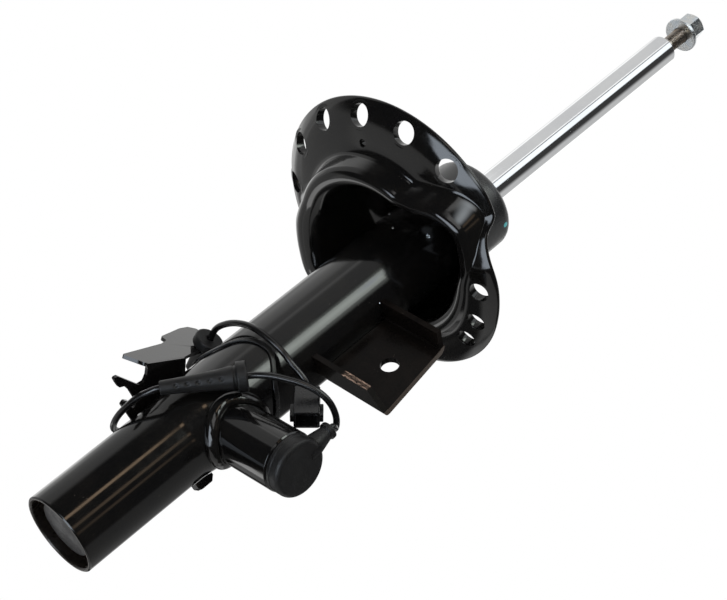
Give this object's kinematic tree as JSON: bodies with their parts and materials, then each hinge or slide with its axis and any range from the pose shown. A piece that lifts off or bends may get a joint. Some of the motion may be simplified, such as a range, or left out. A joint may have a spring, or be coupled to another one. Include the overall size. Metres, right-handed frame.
{
  "type": "suspension strut",
  "caption": "Front suspension strut with an offset spring seat, link and hose brackets, side damping valve with cable and plug, chrome rod with washer and nut.",
  "frame": {"origin": "centre of the tube's open lower end, where the wheel carrier clamps the tube", "axes": "+Z along the piston rod towards its threaded stud; +X along the stabiliser link bracket, away from the tube"},
  "size_m": [0.2007, 0.1992, 0.638],
  "materials": {
    "black_coat": "glossy electrocoat",
    "steel": "machined",
    "rubber": "matte",
    "plastic": "moulded",
    "grey_metal": "dull",
    "bronze": "satin",
    "chrome": "ground and plated",
    "zinc": "zinc plated",
    "copper": "wound wire"
  },
  "bodies": {
    "strut_body": {"damper_tube": "black_coat", "pressure_tube": "steel", "middle_tube": "steel", "lower_seal_ring": "rubber", "upper_seal_ring": "rubber", "base_cap": "grey_metal", "base_valve_body": "steel", "base_valve_shims": "steel", "base_valve_bolt": "steel", "rod_guide": "steel", "rod_bush": "bronze", "rod_seal": "rubber", "seal_retainer": "steel", "bump_cap": "plastic", "spring_seat": "black_coat", "seat_weld": "black_coat", "link_bracket": "black_coat", "hose_bracket": "black_coat", "locating_tab": "black_coat", "valve_housing": "black_coat", "inlet_port": "steel", "valve_body": "steel", "valve_coil": "copper", "pole_piece": "steel", "retaining_ring": "steel", "valve_weld": "black_coat", "valve_cover": "rubber", "valve_cable": "rubber", "front_grommet": "rubber", "rear_grommet": "rubber", "plug_body": "plastic", "terminal_left": "steel", "terminal_right": "steel", "cable_tie": "plastic"},
    "band": {"piston_band": "bronze"},
    "rod": {"piston_rod": "chrome", "upper_shims": "steel", "piston": "grey_metal", "lower_shims": "steel", "piston_nut": "steel", "rebound_stop": "steel", "rebound_buffer": "rubber"},
    "washer": {"rod_washer": "zinc"},
    "nut": {"rod_nut": "zinc"},
    "armature": {"armature": "steel", "return_spring": "steel"}
  },
  "joints": [
    {"name": "rod_slide", "type": "slide", "parent": "strut_body", "child": "band", "axis": [0, 0, 1], "range_m": [-0.175, 0], "stiffness_N_per_m": 200, "springref_m": 0.5},
    {"name": "rod_turn", "type": "hinge", "parent": "band", "child": "rod", "pos_m": [0, 0, 0.262], "axis": [0, 0, 1], "continuous": true},
    {"name": "nut_travel", "type": "slide", "parent": "rod", "child": "washer", "axis": [0, 0, 1], "range_m": [-0.015, 0.0015]},
    {"name": "nut_spin", "type": "hinge", "parent": "washer", "child": "nut", "pos_m": [0, 0, 0.6225], "axis": [0, 0, 1], "range_deg": [-3700, 400]},
    {"name": "armature_slide", "type": "slide", "parent": "strut_body", "child": "armature", "axis": [0.9962, -0.0872, 0], "range_m": [0, 0.0015], "stiffness_N_per_m": 1500, "springref_m": -0.002}
  ],
  "couplings": [
    {"joint": "nut_spin", "follows": "nut_travel", "rad_per_m": 4188.8}
  ]
}
